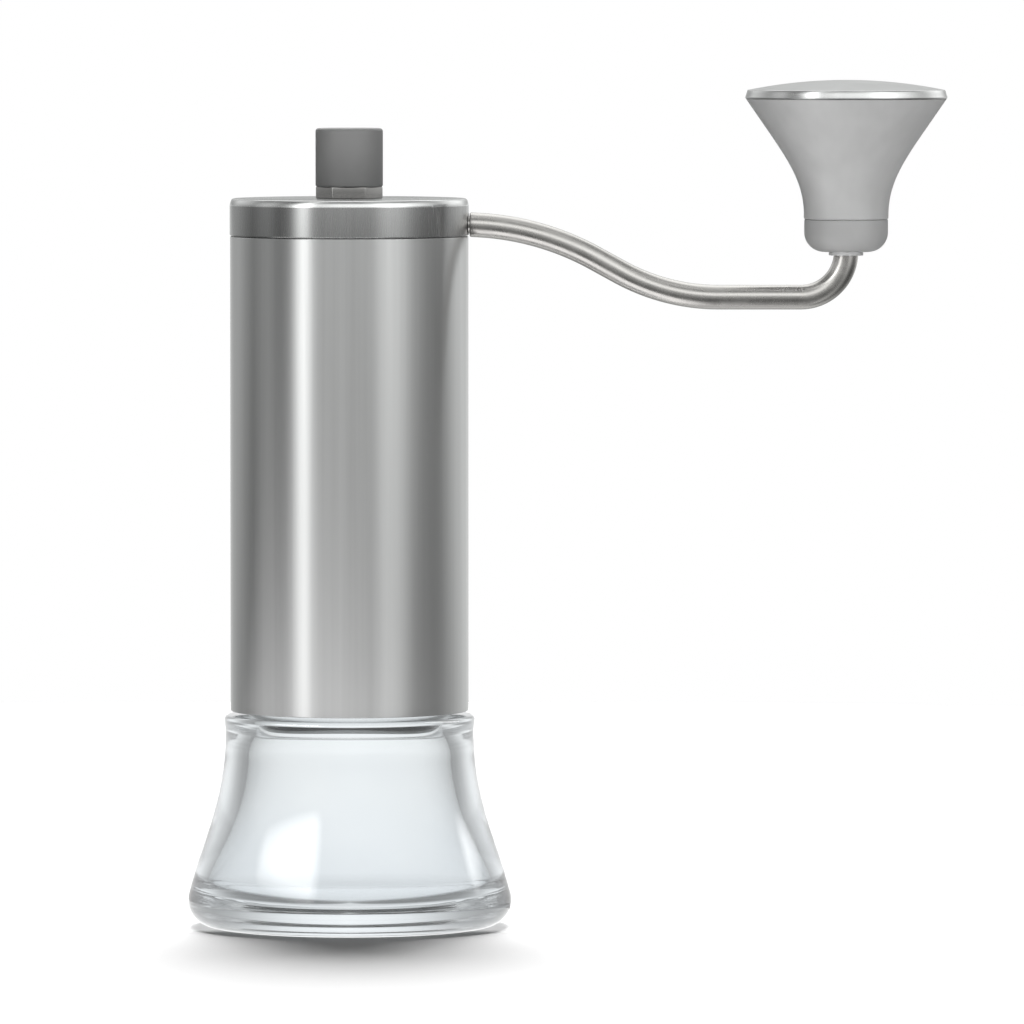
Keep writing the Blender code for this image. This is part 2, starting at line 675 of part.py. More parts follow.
def make_grip_cap(axis):
    """A domed disc with a polished rim, pressed into the trumpet's mouth."""
    rim_r = 0.9
    edge_r = GRIP_RIM_R - rim_r
    rise = GRIP_TOP_Z - GRIP_RIM_Z - rim_r
    dome_r = (edge_r ** 2 + rise ** 2) / (2 * rise)
    centre_z = GRIP_TOP_Z - dome_r
    edge_angle = math.degrees(math.acos(edge_r / dome_r))
    profile = arc(0.0, centre_z, dome_r, 90, edge_angle, 3)
    profile[0] = (0.0, GRIP_TOP_Z)
    profile += arc(edge_r, GRIP_RIM_Z, rim_r, 60, 0, 2)
    low_z = GRIP_BODY_TOP_Z + GAP
    profile += [(24.4, low_z), (20.2, low_z), (20.2, 200.0), (18.4, 200.0), (18.4, 202.8), (0.0, 203.2)]
    turned("grip_cap", profile, axis, "grip_cap_metal", closed=False)


def make_grip_bushes(axis):
    """Two plain bushes that let the grip spin on the bar's upright end."""
    bore_r = BAR_R + GAP
    outer_r = GRIP_BORE_R - GAP
    lower = [(bore_r, 173.8), (outer_r, 173.8), (outer_r, 163.5), (bore_r, 163.5)]
    turned("grip_lower_bush", lower, axis, "satin_grip", SMALL_ROUND)
    upper = [(bore_r, 183.9), (outer_r, 183.9), (outer_r, 174.4), (bore_r, 174.4)]
    turned("grip_upper_bush", upper, axis, "dark_plastic", SMALL_ROUND)


def make_grip_retainers(axis):
    """The washer and the screw in the bar's end, which keep the grip on."""
    washer = [(1.6, 185.7), (6.0, 185.7), (6.0, 184.9), (1.6, 184.9)]
    turned("grip_washer", washer, axis, "plain_steel", SMALL_ROUND)
    screw = [
        (0.0, 188.0), (2.2, 188.0), (2.7, 187.5), (2.7, 186.0), (1.25, 186.0),
        (1.25, 178.0), (0.0, 178.0)]
    turned("grip_screw", screw, axis, "plain_steel", SMALL_ROUND, closed=False)


# ---------------------------------------------------------------- assembly

def build():
    jar_axis = make_axis("jar_axis")
    mill_axis = make_axis("mill_axis", parent=jar_axis)
    shaft_axis = make_axis("shaft_axis", parent=mill_axis)
    crank_axis = make_axis("crank_axis", parent=shaft_axis)
    grip_axis = make_axis("grip_axis", CRANK_RADIUS, crank_axis)

    make_glass_jar(jar_axis)
    make_neck_seal(jar_axis)

    make_body_tube(mill_axis)
    make_neck_adapter(mill_axis)
    make_burr_housing(mill_axis)
    make_burr_ring(mill_axis)
    make_burr_lock_ring(mill_axis)
    make_upper_spider(mill_axis)
    make_bushes(mill_axis)

    make_drive_shaft(shaft_axis)
    make_shaft_retainers(shaft_axis)
    make_spring_washer(shaft_axis)
    make_burr_spring(shaft_axis)
    make_burr_cone(shaft_axis)
    make_burr_carrier(shaft_axis)
    make_detent_plate(shaft_axis)
    make_adjuster_nut(shaft_axis)

    make_lid(crank_axis)
    make_lid_liner(crank_axis)
    make_liner_screws(crank_axis)
    make_arm_set_screw(crank_axis)
    make_hub_collar(crank_axis)
    make_hub_knob(crank_axis)
    make_crank_arm(crank_axis)

    make_grip_ferrule(grip_axis)
    make_grip_body(grip_axis)
    make_grip_cap(grip_axis)
    make_grip_bushes(grip_axis)
    make_grip_retainers(grip_axis)
    smooth_round_pieces()


clear_scene()
PIECES = new_collection(OBJECT_NAME)
TOOLS = new_collection("cutters_and_joins")
build()
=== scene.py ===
"""The looks of the hand crank coffee grinder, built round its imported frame.

Sizes are in millimetres, as in the design, with heights measured up from the table on the
mill's own axis; MM turns them into metres. The mill stands at the origin and its crank
points along +X.
"""

import json
import math

import bmesh
import bpy
from mathutils import Matrix, Vector


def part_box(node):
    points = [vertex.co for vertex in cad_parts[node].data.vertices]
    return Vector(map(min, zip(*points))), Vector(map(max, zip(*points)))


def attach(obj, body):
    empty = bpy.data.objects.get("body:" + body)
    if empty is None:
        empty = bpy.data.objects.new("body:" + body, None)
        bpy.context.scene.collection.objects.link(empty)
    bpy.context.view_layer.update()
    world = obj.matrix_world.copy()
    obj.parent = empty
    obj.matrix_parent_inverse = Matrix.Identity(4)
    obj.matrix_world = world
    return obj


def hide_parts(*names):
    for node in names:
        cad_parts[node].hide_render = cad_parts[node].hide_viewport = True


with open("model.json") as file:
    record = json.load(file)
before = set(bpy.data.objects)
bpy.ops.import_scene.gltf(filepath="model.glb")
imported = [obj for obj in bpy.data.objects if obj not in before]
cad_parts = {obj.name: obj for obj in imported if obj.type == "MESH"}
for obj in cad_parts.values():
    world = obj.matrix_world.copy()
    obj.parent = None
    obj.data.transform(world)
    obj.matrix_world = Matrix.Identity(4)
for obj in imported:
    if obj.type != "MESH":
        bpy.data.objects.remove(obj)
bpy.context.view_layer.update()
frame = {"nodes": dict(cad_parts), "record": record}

MM = 0.001


def high(node):
    """The highest point of a CAD node, in millimetres."""
    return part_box(node)[1].z / MM


def low(node):
    """The lowest point of a CAD node, in millimetres."""
    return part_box(node)[0].z / MM


def radius(node):
    """Half a turned CAD node's width, in millimetres."""
    low_corner, high_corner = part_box(node)
    return (high_corner.x - low_corner.x) / 2 / MM


# Places read from the frame
TUBE_R = radius("body_tube")
TUBE_LOW = low("body_tube")
TUBE_HIGH = high("body_tube")
JAR_R = radius("glass_jar")
JAR_LIP = high("glass_jar")
LID_R = radius("lid_disc")
LID_LOW = 168.32
LID_HIGH = high("lid_disc")
KNOB_R = radius("hub_knob")
KNOB_HIGH = high("hub_knob")
KNOB_LOW = 180.3
GRIP_X = (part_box("grip_body")[0].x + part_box("grip_body")[1].x) / 2 / MM
GRIP_LOW = low("grip_ferrule")
GRIP_SPLIT = high("grip_ferrule")
GRIP_RIM_R = radius("grip_cap")
GRIP_HIGH = high("grip_cap")

# Sizes that the frame doesn't state as a box
TUBE_WALL = 0.8
NECK_R = 24.4                 # the jar's neck, outside
NECK_BORE_R = 22.3
JAR_FLOOR = 6.3
THREAD_LEAD = 4.0
HUB_BORE_R = 5.0              # the bore of the lid's boss and of the collar
BOSS_R = 10.3
RIM_INNER_R = 23.0            # inside the lid's rim
LINER_STEP_R = 27.5
SCREW_CIRCLE_R = 24.7         # the liner's three screws
SCREW_ANGLES = (90.0, 210.0, 330.0)
SCREW_HOLE_R = 1.2
SET_SCREW_X = 7.8
TAPPED_HOLE_R = 1.55
BAR_R = 3.0
SPIGOT_R = 2.1                # the bar's thin end, inside the lid
ARM_HIGH = 171.0              # the bar's axis where it enters the lid
ARM_LOW = 153.35              # and along its level run
ARM_END_Z = high("crank_arm")
BAR_START_X = 29.3
ARM_BEND_X = 28.0             # where the upper bend starts
UPPER_BEND_R = 66.0
LOWER_BEND_R = 50.0
ARM_SLOPE = math.radians(28.8)
CORNER_R = 11.0
GRIP_NECK_R = 10.3
GRIP_BORE_R = 4.5
TRUMPET_RIM_R = 24.4
TRUMPET_WALL = 2.2
TRUMPET_FLOOR_Z = 184.0
FERRULE_ROUND_R = 4.8
HALF_JOINT = 0.12             # how far each side of the grip's joint reaches towards the other

FINE = 160                    # segments round a large turned piece
MEDIUM = 96                   # segments round the knob and the grip's small pieces
COARSE = 24                   # segments round a screw hole


# ---------------------------------------------------------------- outlines

def arc(centre_r, centre_z, size, start, end, steps):
    """Points of an arc in the (r, z) plane, angles in degrees."""
    points = []
    for step in range(steps + 1):
        angle = math.radians(start + (end - start) * step / steps)
        points.append((centre_r + size * math.cos(angle), centre_z + size * math.sin(angle)))
    return points


def bezier(points, steps):
    """Points of one cubic Bezier span in the (r, z) plane."""
    span = []
    for step in range(steps + 1):
        t = step / steps
        weights = ((1 - t) ** 3, 3 * t * (1 - t) ** 2, 3 * t * t * (1 - t), t ** 3)
        span.append(tuple(sum(w * p[k] for w, p in zip(weights, points)) for k in (0, 1)))
    return span


def eased(profile, size, steps=3):
    """Round every corner of a ring's closed outline."""
    result = []
    for i, corner in enumerate(profile):
        here = Vector(corner)
        back = Vector(profile[i - 1]) - here
        ahead = Vector(profile[(i + 1) % len(profile)]) - here
        reach = min(size, back.length * 0.4, ahead.length * 0.4)
        start = here + back.normalized() * reach
        end = here + ahead.normalized() * reach
        for step in range(steps + 1):
            t = step / steps
            point = start * (1 - t) ** 2 + here * 2 * t * (1 - t) + end * t * t
            result.append((point.x, point.y))
    return result


# ---------------------------------------------------------------- meshes

def new_piece(name, mesh, body, replaced, material, sharp=40):
    """Put a mesh into the scene: what it rides on, what it stands for and its material."""
    piece = bpy.data.objects.new(name, mesh)
    bpy.context.scene.collection.objects.link(piece)
    mesh.shade_smooth()
    mesh.set_sharp_from_angle(angle=math.radians(sharp))
    mesh.materials.clear()
    mesh.materials.append(material)
    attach(piece, body)
    if replaced:
        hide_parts(*replaced)
    return piece


def polish_edge(piece, material, low_z, high_z, inner_r, axis_x=0.0):
    """Give the faces of a turned piece's rim, between two heights, their own finish."""
    mesh = piece.data
    mesh.materials.append(material)
    for face in mesh.polygons:
        x, y, z = (value / MM for value in face.center)
        if low_z < z < high_z and math.hypot(x - axis_x, y) > inner_r and face.normal.z > -0.2:
            face.material_index = 1


def lathe_mesh(name, profile, segments, closed=True, axis_x=0.0):
    """Turn an outline that runs down the outer side about an upright axis."""
    mesh = bpy.data.meshes.new(name)
    body = bmesh.new()
    rings = []
    for r, z in profile:
        if r < 1e-6:
            rings.append([body.verts.new((axis_x * MM, 0.0, z * MM))])
            continue
        ring = []
        for step in range(segments):
            angle = 2 * math.pi * step / segments
            x = axis_x + r * math.cos(angle)
            ring.append(body.verts.new((x * MM, r * math.sin(angle) * MM, z * MM)))
        rings.append(ring)
    pairs = list(zip(rings, rings[1:]))
    if closed:
        pairs.append((rings[-1], rings[0]))
    for upper, lower in pairs:
        for step in range(segments):
            after = (step + 1) % segments
            if len(upper) == 1:
                corners = (upper[0], lower[step], lower[after])
            elif len(lower) == 1:
                corners = (upper[step], lower[0], upper[after])
            else:
                corners = (upper[step], lower[step], lower[after], upper[after])
            body.faces.new(corners)
    body.to_mesh(mesh)
    body.free()
    return mesh


def sweep_mesh(name, route, sides):
    """A round bar along (point, size) stations, with flat ends; the route lies in the XZ plane."""
    mesh = bpy.data.meshes.new(name)
    body = bmesh.new()
    across = Vector((0.0, 1.0, 0.0))
    rings = []
    for i, (point, size) in enumerate(route):
        before = Vector(route[max(i - 1, 0)][0])
        after = Vector(route[min(i + 1, len(route) - 1)][0])
        along = (after - before).normalized()
        up = across.cross(along)
        ring = []
        for step in range(sides):
            angle = 2 * math.pi * step / sides
            offset = across * math.cos(angle) * size + up * math.sin(angle) * size
            ring.append(body.verts.new((Vector(point) + offset) * MM))
        rings.append(ring)
    for first, second in zip(rings, rings[1:]):
        for step in range(sides):
            after = (step + 1) % sides
            body.faces.new((first[step], first[after], second[after], second[step]))
    body.faces.new(list(reversed(rings[0])))
    body.faces.new(rings[-1])
    bmesh.ops.recalc_face_normals(body, faces=body.faces)
    body.to_mesh(mesh)
    body.free()
    return mesh


def helix_mesh(name, centre_r, low_z, turns, size):
    """A screw thread's rounded ridge: a bar on a right-handed helix with tapered ends."""
    mesh = bpy.data.meshes.new(name)
    body = bmesh.new()
    sides = 12
    per_turn = 72
    count = round(turns * per_turn)
    rings = []
    for step in range(count + 1):
        turn = turns * step / count
        angle = 2 * math.pi * turn
        outward = Vector((math.cos(angle), math.sin(angle), 0.0))
        centre = outward * centre_r + Vector((0, 0, low_z + THREAD_LEAD * turn))
        fade = min(1.0, step / 8, (count - step) / 8)
        ridge = size * (0.25 + 0.75 * math.sqrt(fade))
        ring = []
        for side in range(sides):
            around = 2 * math.pi * side / sides
            offset = outward * math.cos(around) * ridge + Vector((0, 0, math.sin(around) * ridge))
            ring.append(body.verts.new((centre + offset) * MM))
        rings.append(ring)
    for first, second in zip(rings, rings[1:]):
        for side in range(sides):
            after = (side + 1) % sides
            body.faces.new((first[side], first[after], second[after], second[side]))
    body.faces.new(list(reversed(rings[0])))
    body.faces.new(rings[-1])
    bmesh.ops.recalc_face_normals(body, faces=body.faces)
    body.to_mesh(mesh)
    body.free()
    return mesh


def cylinder_mesh(name, size, low_z, high_z, sides=48):
    """An upright cylinder, or with few sides a prism, on the mill's axis."""
    mesh = bpy.data.meshes.new(name)
    body = bmesh.new()
    lift = Matrix.Translation((0, 0, (low_z + high_z) / 2 * MM))
    bmesh.ops.create_cone(
        body, cap_ends=True, segments=sides, radius1=size * MM, radius2=size * MM,
        depth=(high_z - low_z) * MM, matrix=lift)
    body.to_mesh(mesh)
    body.free()
    return mesh


def combine(mesh, others, operation):
    """Join or cut a mesh with others, and return the result as a new mesh."""
    holder = bpy.data.objects.new(mesh.name, mesh)
    bpy.context.scene.collection.objects.link(holder)
    helpers = []
    for other in others:
        helper = bpy.data.objects.new(other.name, other)
        bpy.context.scene.collection.objects.link(helper)
        helpers.append(helper)
        step = holder.modifiers.new(other.name, "BOOLEAN")
        step.operation = operation
        step.solver = "EXACT"
        step.object = helper
    depsgraph = bpy.context.evaluated_depsgraph_get()
    result = bpy.data.meshes.new_from_object(holder.evaluated_get(depsgraph))
    for item in [holder] + helpers:
        bpy.data.objects.remove(item, do_unlink=True)
    return result


# ---------------------------------------------------------------- material building blocks

class Shader:
    """A short way to write one Principled material's nodes."""

    def __init__(self, name):
        self.material = bpy.data.materials.new(name)
        self.material.use_nodes = True
        self.tree = self.material.node_tree
        self.principled = self.tree.nodes["Principled BSDF"]

    def set(self, **values):
        for name, value in values.items():
            self.principled.inputs[name.replace("_", " ")].default_value = value
        return self

    def link(self, output, socket):
        target = self.principled.inputs[socket] if isinstance(socket, str) else socket
        self.tree.links.new(output, target)

    def node(self, kind, **settings):
        node = self.tree.nodes.new(kind)
        for name, value in settings.items():
            setattr(node, name, value)
        return node

    def place(self, scale):
        """Object coordinates, in millimetres, stretched by a scale."""
        coordinates = self.node("ShaderNodeTexCoord")
        mapping = self.node("ShaderNodeMapping")
        mapping.inputs["Scale"].default_value = [s / MM for s in scale]
        self.tree.links.new(coordinates.outputs["Object"], mapping.inputs["Vector"])
        return mapping.outputs["Vector"]

    def around(self, per_turn, per_mm):
        """Coordinates (angle, height) about the mill's axis, for lines that run up its pieces."""
        coordinates = self.node("ShaderNodeTexCoord")
        parts = self.node("ShaderNodeSeparateXYZ")
        self.tree.links.new(coordinates.outputs["Object"], parts.inputs["Vector"])
        flat = self.node("ShaderNodeCombineXYZ")
        self.tree.links.new(parts.outputs["X"], flat.inputs["X"])
        self.tree.links.new(parts.outputs["Y"], flat.inputs["Y"])
        unit = self.node("ShaderNodeVectorMath", operation="NORMALIZE")
        self.tree.links.new(flat.outputs["Vector"], unit.inputs[0])
        turned = self.node("ShaderNodeVectorMath", operation="SCALE")
        self.tree.links.new(unit.outputs["Vector"], turned.inputs[0])
        turned.inputs["Scale"].default_value = per_turn
        height = self.node("ShaderNodeMath", operation="MULTIPLY")
        self.tree.links.new(parts.outputs["Z"], height.inputs[0])
        height.inputs[1].default_value = per_mm / MM
        split = self.node("ShaderNodeSeparateXYZ")
        self.tree.links.new(turned.outputs["Vector"], split.inputs["Vector"])
        joined = self.node("ShaderNodeCombineXYZ")
        self.tree.links.new(split.outputs["X"], joined.inputs["X"])
        self.tree.links.new(split.outputs["Y"], joined.inputs["Y"])
        self.tree.links.new(height.outputs["Value"], joined.inputs["Z"])
        return joined.outputs["Vector"]

    def noise(self, vector, detail=3.0, rough=0.6):
        node = self.node("ShaderNodeTexNoise")
        node.inputs["Scale"].default_value = 1.0
        node.inputs["Detail"].default_value = detail
        node.inputs["Roughness"].default_value = rough
        self.tree.links.new(vector, node.inputs["Vector"])
        return node.outputs["Fac"]

    def ramp(self, value, low_value, high_value, start=0.3, end=0.7):
        """Map a noise value to a range of numbers."""
        node = self.node("ShaderNodeMapRange")
        node.inputs["From Min"].default_value = start
        node.inputs["From Max"].default_value = end
        node.inputs["To Min"].default_value = low_value
        node.inputs["To Max"].default_value = high_value
        self.tree.links.new(value, node.inputs["Value"])
        return node.outputs["Result"]

    def colours(self, value, dark, light, start=0.3, end=0.7):
        node = self.node("ShaderNodeValToRGB")
        node.color_ramp.elements[0].position = start
        node.color_ramp.elements[0].color = (*dark, 1)
        node.color_ramp.elements[1].position = end
        node.color_ramp.elements[1].color = (*light, 1)
        self.tree.links.new(value, node.inputs["Fac"])
        return node.outputs["Color"]

    def paint(self, value, dark, light):
        """A base colour that wanders between two tones with a noise value."""
        self.link(self.colours(value, dark, light), "Base Color")

    def bump(self, value, depth_mm, strength=1.0):
        node = self.node("ShaderNodeBump")
        node.inputs["Strength"].default_value = strength
        node.inputs["Distance"].default_value = depth_mm * MM
        self.tree.links.new(value, node.inputs["Height"])
        self.link(node.outputs["Normal"], "Normal")


def grey(value, warm=0.0):
    """A near-neutral metal colour; warm above 0 leans to yellow, below 0 to blue."""
    return (value * (1 + warm), value, value * (1 - warm))


def brushed_steel(name, tone, rough=0.34, depth=0.002):
    """Steel with fine lines that run up a turned piece."""
    shader = Shader(name).set(Metallic=1.0, Anisotropic=0.95, Anisotropic_Rotation=0.25)
    lines = shader.noise(shader.around(120.0, 0.02), detail=4.0, rough=0.7)
    broad = shader.noise(shader.around(14.0, 0.006), detail=2.0)
    shader.paint(broad, grey(tone * 0.96), grey(tone * 1.03))
    shader.link(shader.ramp(lines, rough - 0.025, rough + 0.025), "Roughness")
    shader.bump(lines, depth)
    return shader.material


def satin_metal(name, tone, rough, grain=6.0, warm=0.0, metallic=1.0):
    """Bead-blasted or satin metal: a fine even grain with slow changes of tone."""
    shader = Shader(name).set(Metallic=metallic)
    fine = shader.noise(shader.place((grain, grain, grain)), detail=3.0)
    slow = shader.noise(shader.place((0.12, 0.12, 0.08)), detail=2.0)
    shader.paint(slow, grey(tone * 0.95, warm), grey(tone * 1.04, warm))
    shader.link(shader.ramp(fine, rough - 0.025, rough + 0.025), "Roughness")
    shader.bump(fine, 0.004)
    return shader.material


def polished_metal(name, tone, rough, warm=0.0):
    """Polished bar: faint drawn lines and a little handling haze."""
    shader = Shader(name).set(Metallic=1.0)
    haze = shader.noise(shader.place((0.25, 0.25, 0.25)), detail=3.0)
    lines = shader.noise(shader.place((0.05, 9.0, 9.0)), detail=2.0)
    shader.paint(haze, grey(tone * 0.97, warm), grey(tone * 1.03, warm))
    shader.link(shader.ramp(haze, rough * 0.8, rough * 1.25), "Roughness")
    shader.bump(lines, 0.0006)
    return shader.material


def moulded_plastic(name, colour, rough):
    shader = Shader(name).set(IOR=1.49)
    grain = shader.noise(shader.place((5.0, 5.0, 5.0)), detail=2.0)
    slow = shader.noise(shader.place((0.2, 0.2, 0.2)), detail=2.0)
    dark = tuple(c * 0.85 for c in colour)
    light = tuple(c * 1.15 for c in colour)
    shader.paint(slow, dark, light)
    shader.link(shader.ramp(grain, rough - 0.06, rough + 0.06), "Roughness")
    shader.bump(grain, 0.01)
    return shader.material


def fired_ceramic(name):
    shader = Shader(name).set(IOR=1.6)
    slow = shader.noise(shader.place((0.3, 0.3, 0.3)), detail=4.0)
    speck = shader.noise(shader.place((3.0, 3.0, 3.0)), detail=4.0)
    shader.paint(slow, (0.72, 0.70, 0.64), (0.86, 0.85, 0.80))
    shader.link(shader.ramp(speck, 0.38, 0.55), "Roughness")
    shader.bump(speck, 0.01)
    return shader.material


def silicone(name):
    shader = Shader(name).set(IOR=1.42)
    shader.set(Subsurface_Weight=0.3)
    grain = shader.noise(shader.place((1.5, 1.5, 1.5)), detail=2.0)
    shader.paint(grain, (0.66, 0.66, 0.62), (0.76, 0.76, 0.72))
    shader.link(shader.ramp(grain, 0.5, 0.65), "Roughness")
    return shader.material


def clear_glass(name):
    """Thick pressed glass: very slightly wavy, with a faint blue tint low down."""
    shader = Shader(name).set(IOR=1.5, Transmission_Weight=1.0, Roughness=0.0)
    wave = shader.noise(shader.place((0.045, 0.045, 0.06)), detail=1.0)
    height = shader.node("ShaderNodeMath", operation="MULTIPLY_ADD")
    parts = shader.node("ShaderNodeSeparateXYZ")
    shader.link(shader.node("ShaderNodeTexCoord").outputs["Object"], parts.inputs["Vector"])
    shader.link(parts.outputs["Z"], height.inputs[0])
    height.inputs[1].default_value = 0.012 / MM
    shader.link(shader.ramp(wave, 0.0, 0.2), height.inputs[2])
    deep, clear = (0.92, 0.935, 0.95), (0.990, 0.996, 0.999)
    shader.link(shader.colours(height.outputs["Value"], deep, clear, 0.25, 0.6), "Base Color")
    shader.bump(wave, 0.05, 0.35)
    return shader.material


# ---------------------------------------------------------------- jar

def jar_outer_wall():
    bead = arc(29.3, 50.4, 1.2, 90, 0, 8)
    flare = bezier(((30.2, 48.0), (30.2, 30.0), (36.0, 21.0), (39.3, 7.5)), 40)
    foot = arc(JAR_R - 6.2, 6.2, 6.2, 0, -90, 14)
    return bead + flare + foot


def jar_inner_wall():
    corner = arc(29.6, JAR_FLOOR + 5.0, 5.0, -90, -12, 12)
    flare = bezier(((34.5, 11.4), (31.4, 21.0), (25.0, 29.0), (24.7, 41.0)), 36)
    shoulder = bezier(((24.7, 41.0), (24.6, 46.0), (22.6, 50.0), (NECK_BORE_R, 54.0)), 14)[1:]
    return [(0.0, JAR_FLOOR), (12.0, JAR_FLOOR)] + corner + flare + shoulder


def make_jar(material):
    profile = jar_inner_wall()
    profile += [(NECK_BORE_R, JAR_LIP - 0.5), (NECK_BORE_R + 0.5, JAR_LIP)]
    profile += [(NECK_R - 0.6, JAR_LIP), (NECK_R, JAR_LIP - 0.6), (NECK_R, 52.2), (25.0, 51.6)]
    profile += jar_outer_wall() + [(12.0, 0.0), (0.0, 0.0)]
    shell = lathe_mesh("jar_glass", profile, FINE, closed=False)
    ridge = helix_mesh("jar_thread_ridge", NECK_R + 0.2, low_z=54.2, turns=1.6, size=0.8)
    shell = combine(shell, [ridge], "UNION")
    new_piece("jar_glass", shell, "jar", ["glass_jar"], material, 50)


# ---------------------------------------------------------------- tube, seam and lid

def make_tube(material):
    top_z = TUBE_HIGH + 0.2
    profile = [
        (TUBE_R - TUBE_WALL, top_z), (TUBE_R, top_z), (TUBE_R, TUBE_LOW),
        (TUBE_R - TUBE_WALL, TUBE_LOW)]
    mesh = lathe_mesh("tube_shell", eased(profile, 0.25), FINE)
    new_piece("tube_shell", mesh, "mill", ["body_tube"], material)


def screw_holes(prefix, high_z):
    """Cutters for the three screws that hold the liner under the lid."""
    holes = []
    for degrees in SCREW_ANGLES:
        hole = cylinder_mesh(f"{prefix}_hole_{degrees:.0f}", SCREW_HOLE_R, 160.0, high_z, COARSE)
        hole.transform(Matrix.Translation((SCREW_CIRCLE_R * MM, 0, 0)))
        hole.transform(Matrix.Rotation(math.radians(degrees), 4, "Z"))
        holes.append(hole)
    return holes


def make_liner(material):
    bore_r = BOSS_R + 0.4
    skirt_r = 26.4
    fit_r = radius("lid_liner")
    profile = [
        (bore_r, 168.0), (LINER_STEP_R, 168.0), (LINER_STEP_R, 167.0), (fit_r, 166.8),
        (fit_r, 161.0), (skirt_r, 161.0), (skirt_r, 166.6), (bore_r, 166.6)]
    mesh = lathe_mesh("liner_ring", eased(profile, 0.2), FINE)
    mesh = combine(mesh, screw_holes("liner", 170.0), "DIFFERENCE")
    new_piece("liner_ring", mesh, "crank", ["lid_liner"], material)


LID_RIM = (
    # how far in from the side and down from the top
    (0.95, 0.0), (0.72, 0.06), (0.52, 0.2), (0.36, 0.45), (0.2, 0.85), (0.08, 1.25), (0.0, 1.7))


def make_lid(material, edge_material):
    ceiling_z = 174.9
    profile = [(HUB_BORE_R, LID_HIGH), (20.0, LID_HIGH)]
    profile += [(LID_R - inward, LID_HIGH - down) for inward, down in LID_RIM]
    profile += [(LID_R, LID_LOW + 0.3), (LID_R - 0.3, LID_LOW), (RIM_INNER_R, LID_LOW)]
    profile += [(RIM_INNER_R, ceiling_z), (BOSS_R, ceiling_z), (BOSS_R, low("lid_disc"))]
    profile += [(HUB_BORE_R, low("lid_disc"))]
    mesh = lathe_mesh("lid_shell", profile, FINE)
    spigot_hole = cylinder_mesh("lid_spigot_hole", SPIGOT_R + 0.3, 5.7, 35.0)
    spigot_hole.transform(Matrix.Rotation(math.radians(90), 4, "Y"))
    spigot_hole.transform(Matrix.Translation((0, 0, ARM_HIGH * MM)))
    set_screw_hole = cylinder_mesh("lid_set_screw_hole", TAPPED_HOLE_R, 160.0, ARM_HIGH, COARSE)
    set_screw_hole.transform(Matrix.Translation((SET_SCREW_X * MM, 0, 0)))
    holes = [spigot_hole, set_screw_hole] + screw_holes("lid", 172.2)
    mesh = combine(mesh, holes, "DIFFERENCE")
    lid = new_piece("lid_shell", mesh, "crank", ["lid_disc"], material)
    rim_z = LID_HIGH - LID_RIM[-1][1]
    polish_edge(lid, edge_material, rim_z, LID_HIGH - 0.01, LID_R - 1.0)


# ---------------------------------------------------------------- hub

def make_collar(material):
    """A six-sided collar with eased edges and a corner towards the crank."""
    mesh = cylinder_mesh("collar_ring", KNOB_R, LID_HIGH, KNOB_LOW + 0.02, 6)
    mesh.transform(Matrix.Rotation(math.radians(90), 4, "Z"))
    body = bmesh.new()
    body.from_mesh(mesh)
    bmesh.ops.bevel(
        body, geom=list(body.edges), offset=0.35 * MM, segments=3, affect="EDGES",
        profile=0.6, clamp_overlap=True)
    body.to_mesh(mesh)
    body.free()
    bore = cylinder_mesh("collar_bore", HUB_BORE_R, 170.0, 190.0, 64)
    mesh = combine(mesh, [bore], "DIFFERENCE")
    new_piece("collar_ring", mesh, "crank", ["hub_collar"], material, 30)


def make_knob(material):
    stem_r = HUB_BORE_R - 0.3
    stem_z = 166.9
    edge_r = 0.8
    profile = [(0.0, KNOB_HIGH), (5.0, KNOB_HIGH)]
    profile += arc(KNOB_R - edge_r, KNOB_HIGH - edge_r, edge_r, 90, 0, 6)
    profile += [(KNOB_R, KNOB_LOW + 0.3), (KNOB_R - 0.3, KNOB_LOW), (stem_r, KNOB_LOW)]
    profile += [(stem_r, stem_z + 0.3), (stem_r - 0.3, stem_z), (0.0, stem_z)]
    mesh = lathe_mesh("knob_turned", profile, MEDIUM, closed=False)
    socket = cylinder_mesh("knob_socket", 3.6, 160.0, 188.3, 6)
    mesh = combine(mesh, [socket], "DIFFERENCE")
    new_piece("knob_turned", mesh, "crank", ["hub_knob"], material)


# ---------------------------------------------------------------- crank arm

def arm_route():
    """The bar's centre line: a swan neck out of the lid, a straight run, and a turn up."""
    rise = 1 - math.cos(ARM_SLOPE)
    bends = (UPPER_BEND_R + LOWER_BEND_R) * rise
    slope_length = (ARM_HIGH - ARM_LOW - bends) / math.sin(ARM_SLOPE)
    points = []
    for step in range(2, 19):
        angle = ARM_SLOPE * step / 18
        x = ARM_BEND_X + UPPER_BEND_R * math.sin(angle)
        points.append((x, 0.0, ARM_HIGH - UPPER_BEND_R * (1 - math.cos(angle))))
    x = points[-1][0] + slope_length * math.cos(ARM_SLOPE)
    end_x = x + LOWER_BEND_R * math.sin(ARM_SLOPE)
    for step in range(19):
        angle = ARM_SLOPE * (1 - step / 18)
        x = end_x - LOWER_BEND_R * math.sin(angle)
        points.append((x, 0.0, ARM_LOW + LOWER_BEND_R * (1 - math.cos(angle))))
    for step in range(25):
        angle = math.radians(90 * step / 24)
        x = GRIP_X - CORNER_R * (1 - math.sin(angle))
        points.append((x, 0.0, ARM_LOW + CORNER_R * (1 - math.cos(angle))))
    return points


